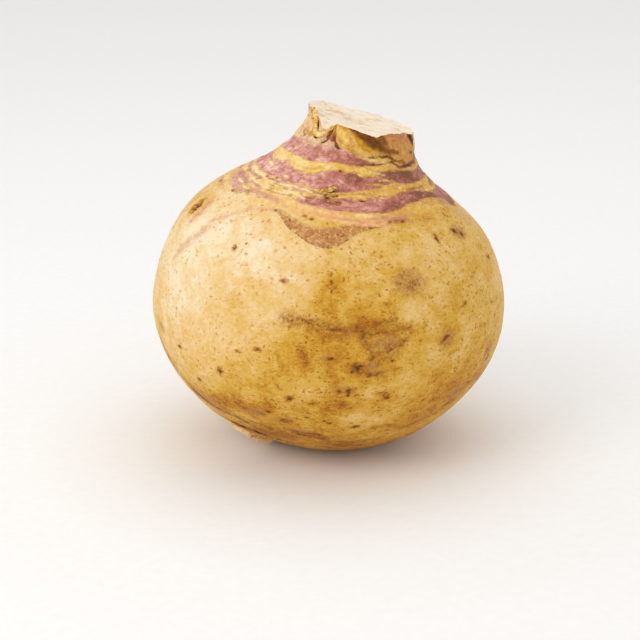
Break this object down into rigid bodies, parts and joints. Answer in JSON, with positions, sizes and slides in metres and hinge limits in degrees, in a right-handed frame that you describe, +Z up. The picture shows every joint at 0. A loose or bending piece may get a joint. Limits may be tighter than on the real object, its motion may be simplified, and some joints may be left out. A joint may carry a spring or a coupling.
{
  "type": "rutabaga",
  "caption": "Whole round rutabaga with a slanting cut crown and a short cut taproot, standing on its own flat spot.",
  "frame": {"origin": "centre of the bounding box's underside, on the flat spot that the root stands on", "axes": "+Z up through the bulb, +X towards the side that the crown leans to, -Y towards the front, where the large leaf scar and the tongue-shaped corky edge are"},
  "size_m": [0.12, 0.1164, 0.1155],
  "materials": {
    "skin": "thin waxy skin, ochre-yellow below, with mauve bands round the shoulder, corky scars and brown pores"
  },
  "bodies": {
    "root": {"rutabaga": "skin"}
  },
  "joints": []
}
